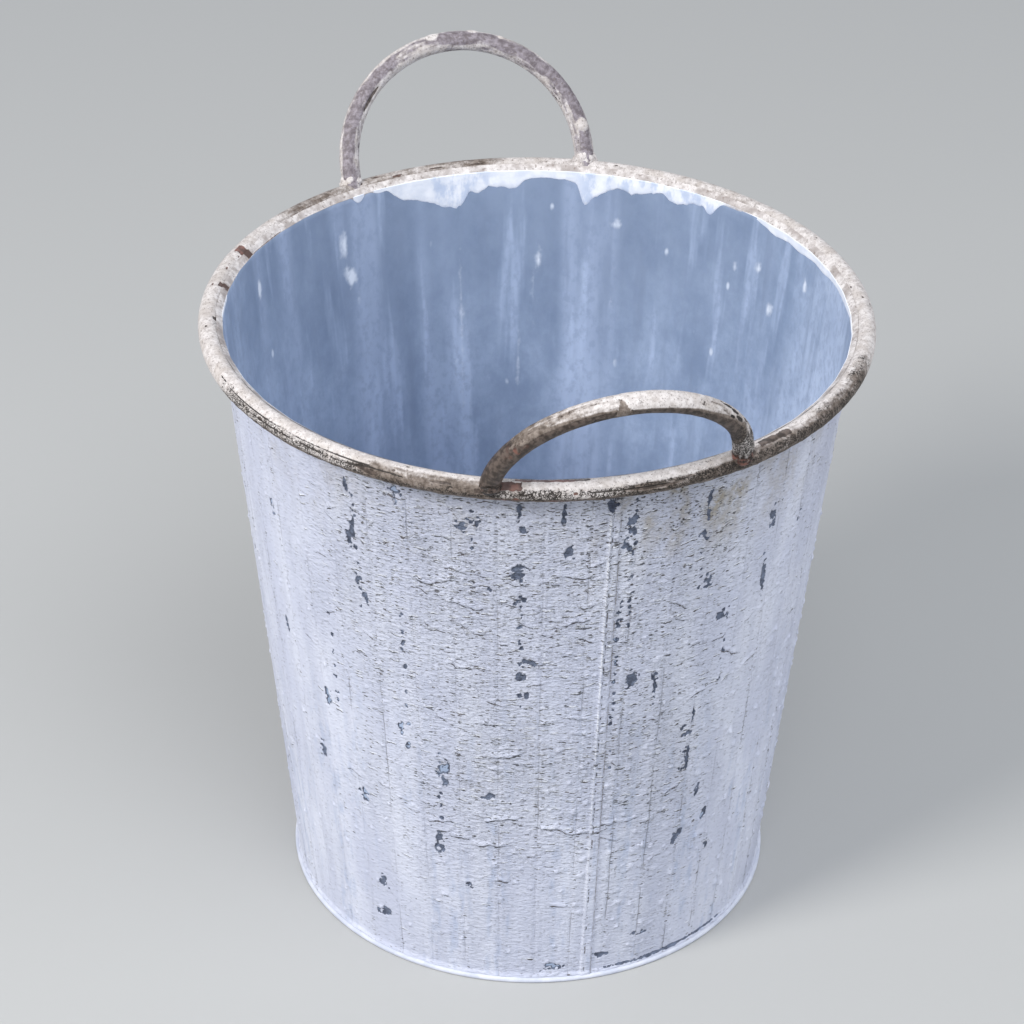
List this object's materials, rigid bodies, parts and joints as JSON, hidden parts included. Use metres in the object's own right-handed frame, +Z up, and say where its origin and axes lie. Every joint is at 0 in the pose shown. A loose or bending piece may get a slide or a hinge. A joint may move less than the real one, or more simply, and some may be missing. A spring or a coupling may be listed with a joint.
{
  "type": "florist bucket",
  "caption": "Tapered galvanised sheet flower bucket with a steel bar rim, two fixed loop handles welded to the rim, a folded side seam and chipped white paint.",
  "frame": {"origin": "centre of the base, on the surface that the bucket stands on", "axes": "+Z up through the mouth; -Y towards the front handle and the side seam; +Y towards the rear handle; +X to the right"},
  "size_m": [0.295, 0.3399, 0.3428],
  "materials": {
    "painted_sheet": "thick chipped white paint over galvanised sheet",
    "painted_bar": "cracked cream paint over brown steel",
    "weld": "painted, with a little rust",
    "bare_zinc": "weathered matt zinc"
  },
  "bodies": {
    "root": {"wall_sheet": "painted_sheet", "base_pan": "painted_sheet", "rim_ring": "painted_bar", "handle_front": "painted_bar", "handle_rear": "painted_bar", "weld_front_left": "weld", "weld_front_right": "weld", "weld_rear_left": "weld", "weld_rear_right": "weld"}
  },
  "joints": []
}
